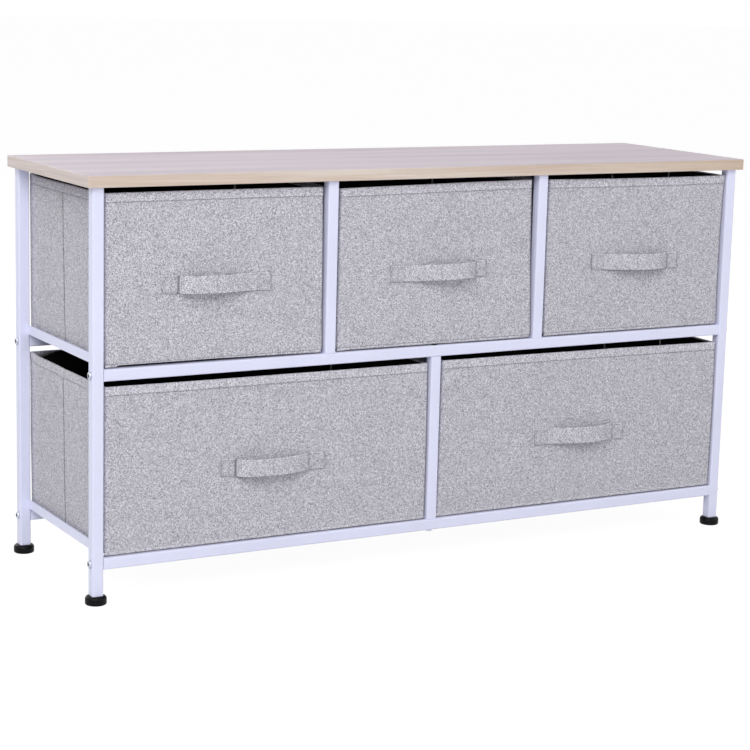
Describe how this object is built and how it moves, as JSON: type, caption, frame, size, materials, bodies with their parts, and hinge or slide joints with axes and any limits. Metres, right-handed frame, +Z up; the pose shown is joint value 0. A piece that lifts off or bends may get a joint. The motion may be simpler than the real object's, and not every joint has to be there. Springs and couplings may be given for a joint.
{
  "type": "fabric drawer dresser",
  "caption": "Low wide dresser: white steel tube frame, pale wood-grain top, grey fabric drawers with strap handles, three above and two wider below, on levelling feet.",
  "frame": {"origin": "on the floor under the middle of the top board", "axes": "+X to the dresser's right seen from the front, -Y out of its front, +Z up"},
  "size_m": [1, 0.2942, 0.54],
  "materials": {
    "white_steel": "satin white powder coat with a faint lavender cast",
    "wood_grain_board": "pale greyed wood-grain laminate, matt",
    "zinc_plated_steel": "bright zinc plating",
    "black_oxide_steel": "dull black",
    "black_plastic": "moulded, slightly soft sheen",
    "grey_linen_fabric": "light grey linen-look weave with darker flecks",
    "black_lining": "black non-woven lining",
    "fibreboard": "plain"
  },
  "bodies": {
    "frame": {"top_board": "wood_grain_board", "post_front_left": "white_steel", "post_front_right": "white_steel", "post_rear_left": "white_steel", "post_rear_right": "white_steel", "front_bottom_rail": "white_steel", "front_mid_rail": "white_steel", "rear_bottom_rail": "white_steel", "rear_mid_rail": "white_steel", "side_runner_lower_left": "white_steel", "side_runner_lower_right": "white_steel", "side_runner_upper_left": "white_steel", "side_runner_upper_right": "white_steel", "divider_runner_upper_left": "white_steel", "divider_runner_upper_right": "white_steel", "divider_runner_lower": "white_steel", "upper_divider_front_left": "white_steel", "upper_divider_front_right": "white_steel", "upper_divider_rear_left": "white_steel", "upper_divider_rear_right": "white_steel", "lower_divider_front": "white_steel", "lower_divider_rear": "white_steel", "foot_plugs": "black_plastic", "rail_end_nuts": "black_plastic", "divider_end_nuts": "black_plastic", "rail_bolts": "zinc_plated_steel", "divider_bolts": "zinc_plated_steel", "divider_flush_screws": "black_oxide_steel", "board_tabs": "white_steel", "board_screws": "zinc_plated_steel"},
    "drawer_upper_left": {"drawer_upper_left_fabric": "grey_linen_fabric", "drawer_upper_left_lining": "black_lining", "drawer_upper_left_panels": "fibreboard", "drawer_upper_left_base": "fibreboard", "drawer_upper_left_handle": "grey_linen_fabric"},
    "drawer_upper_middle": {"drawer_upper_middle_fabric": "grey_linen_fabric", "drawer_upper_middle_lining": "black_lining", "drawer_upper_middle_panels": "fibreboard", "drawer_upper_middle_base": "fibreboard", "drawer_upper_middle_handle": "grey_linen_fabric"},
    "drawer_upper_right": {"drawer_upper_right_fabric": "grey_linen_fabric", "drawer_upper_right_lining": "black_lining", "drawer_upper_right_panels": "fibreboard", "drawer_upper_right_base": "fibreboard", "drawer_upper_right_handle": "grey_linen_fabric"},
    "drawer_lower_left": {"drawer_lower_left_fabric": "grey_linen_fabric", "drawer_lower_left_lining": "black_lining", "drawer_lower_left_panels": "fibreboard", "drawer_lower_left_base": "fibreboard", "drawer_lower_left_handle": "grey_linen_fabric"},
    "drawer_lower_right": {"drawer_lower_right_fabric": "grey_linen_fabric", "drawer_lower_right_lining": "black_lining", "drawer_lower_right_panels": "fibreboard", "drawer_lower_right_base": "fibreboard", "drawer_lower_right_handle": "grey_linen_fabric"},
    "foot_front_left": {"foot_front_left": "black_plastic"},
    "foot_front_right": {"foot_front_right": "black_plastic"},
    "foot_rear_left": {"foot_rear_left": "black_plastic"},
    "foot_rear_right": {"foot_rear_right": "black_plastic"}
  },
  "joints": [
    {"name": "drawer_upper_left_slide", "type": "slide", "parent": "frame", "child": "drawer_upper_left", "axis": [0, -1, 0], "range_m": [0, 0.2]},
    {"name": "drawer_upper_middle_slide", "type": "slide", "parent": "frame", "child": "drawer_upper_middle", "axis": [0, -1, 0], "range_m": [0, 0.2]},
    {"name": "drawer_upper_right_slide", "type": "slide", "parent": "frame", "child": "drawer_upper_right", "axis": [0, -1, 0], "range_m": [0, 0.2]},
    {"name": "drawer_lower_left_slide", "type": "slide", "parent": "frame", "child": "drawer_lower_left", "axis": [0, -1, 0], "range_m": [0, 0.2]},
    {"name": "drawer_lower_right_slide", "type": "slide", "parent": "frame", "child": "drawer_lower_right", "axis": [0, -1, 0], "range_m": [0, 0.2]},
    {"name": "foot_front_left_level", "type": "slide", "parent": "frame", "child": "foot_front_left", "axis": [0, 0, -1], "range_m": [0, 0.008]},
    {"name": "foot_front_right_level", "type": "slide", "parent": "frame", "child": "foot_front_right", "axis": [0, 0, -1], "range_m": [0, 0.008]},
    {"name": "foot_rear_left_level", "type": "slide", "parent": "frame", "child": "foot_rear_left", "axis": [0, 0, -1], "range_m": [0, 0.008]},
    {"name": "foot_rear_right_level", "type": "slide", "parent": "frame", "child": "foot_rear_right", "axis": [0, 0, -1], "range_m": [0, 0.008]}
  ]
}
